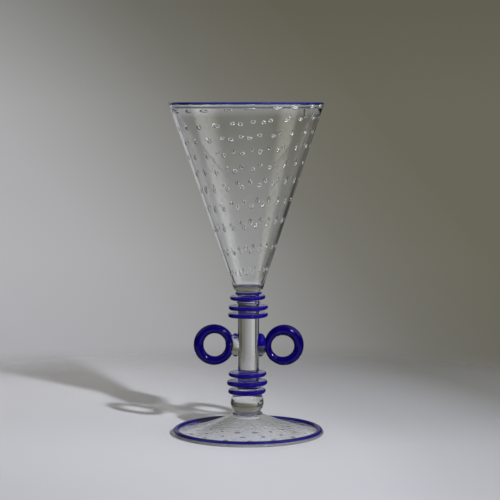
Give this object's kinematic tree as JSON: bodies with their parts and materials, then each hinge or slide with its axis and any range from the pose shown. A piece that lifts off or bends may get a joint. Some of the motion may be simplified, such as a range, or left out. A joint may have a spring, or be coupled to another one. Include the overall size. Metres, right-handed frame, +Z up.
{
  "type": "glass vase",
  "caption": "Tall conical glass vase on a slim stem, with wound blue rings, two blue ring handles and a round foot edged in blue.",
  "frame": {"origin": "centre of the foot's rest plane, on the vase's axis", "axes": "+Z up along the stem to the lip, +X through the right-hand ring handle, the handles' holes open along Y and the pictured front faces -Y"},
  "size_m": [0.127, 0.127, 0.273],
  "materials": {
    "clear_glass": "clear blown glass, glossy, with rows of small trapped bubbles in the bowl and the foot",
    "cobalt_glass": "deep cobalt blue glass, glossy, nearly opaque where it is thick"
  },
  "bodies": {
    "root": {"bowl": "clear_glass", "lip_thread": "cobalt_glass", "neck_thread_upper": "cobalt_glass", "upper_ring_top": "cobalt_glass", "neck_thread_lower": "cobalt_glass", "upper_ring_middle": "cobalt_glass", "upper_ring_bottom": "cobalt_glass", "stem": "clear_glass", "handle_ring_left": "cobalt_glass", "handle_ring_right": "cobalt_glass", "handle_prunt_left": "clear_glass", "handle_prunt_right": "clear_glass", "lower_ring_top": "cobalt_glass", "lower_ring_middle": "cobalt_glass", "lower_ring_bottom": "cobalt_glass", "knop": "clear_glass", "foot_merese": "clear_glass", "foot": "clear_glass", "foot_thread": "cobalt_glass"}
  },
  "joints": []
}
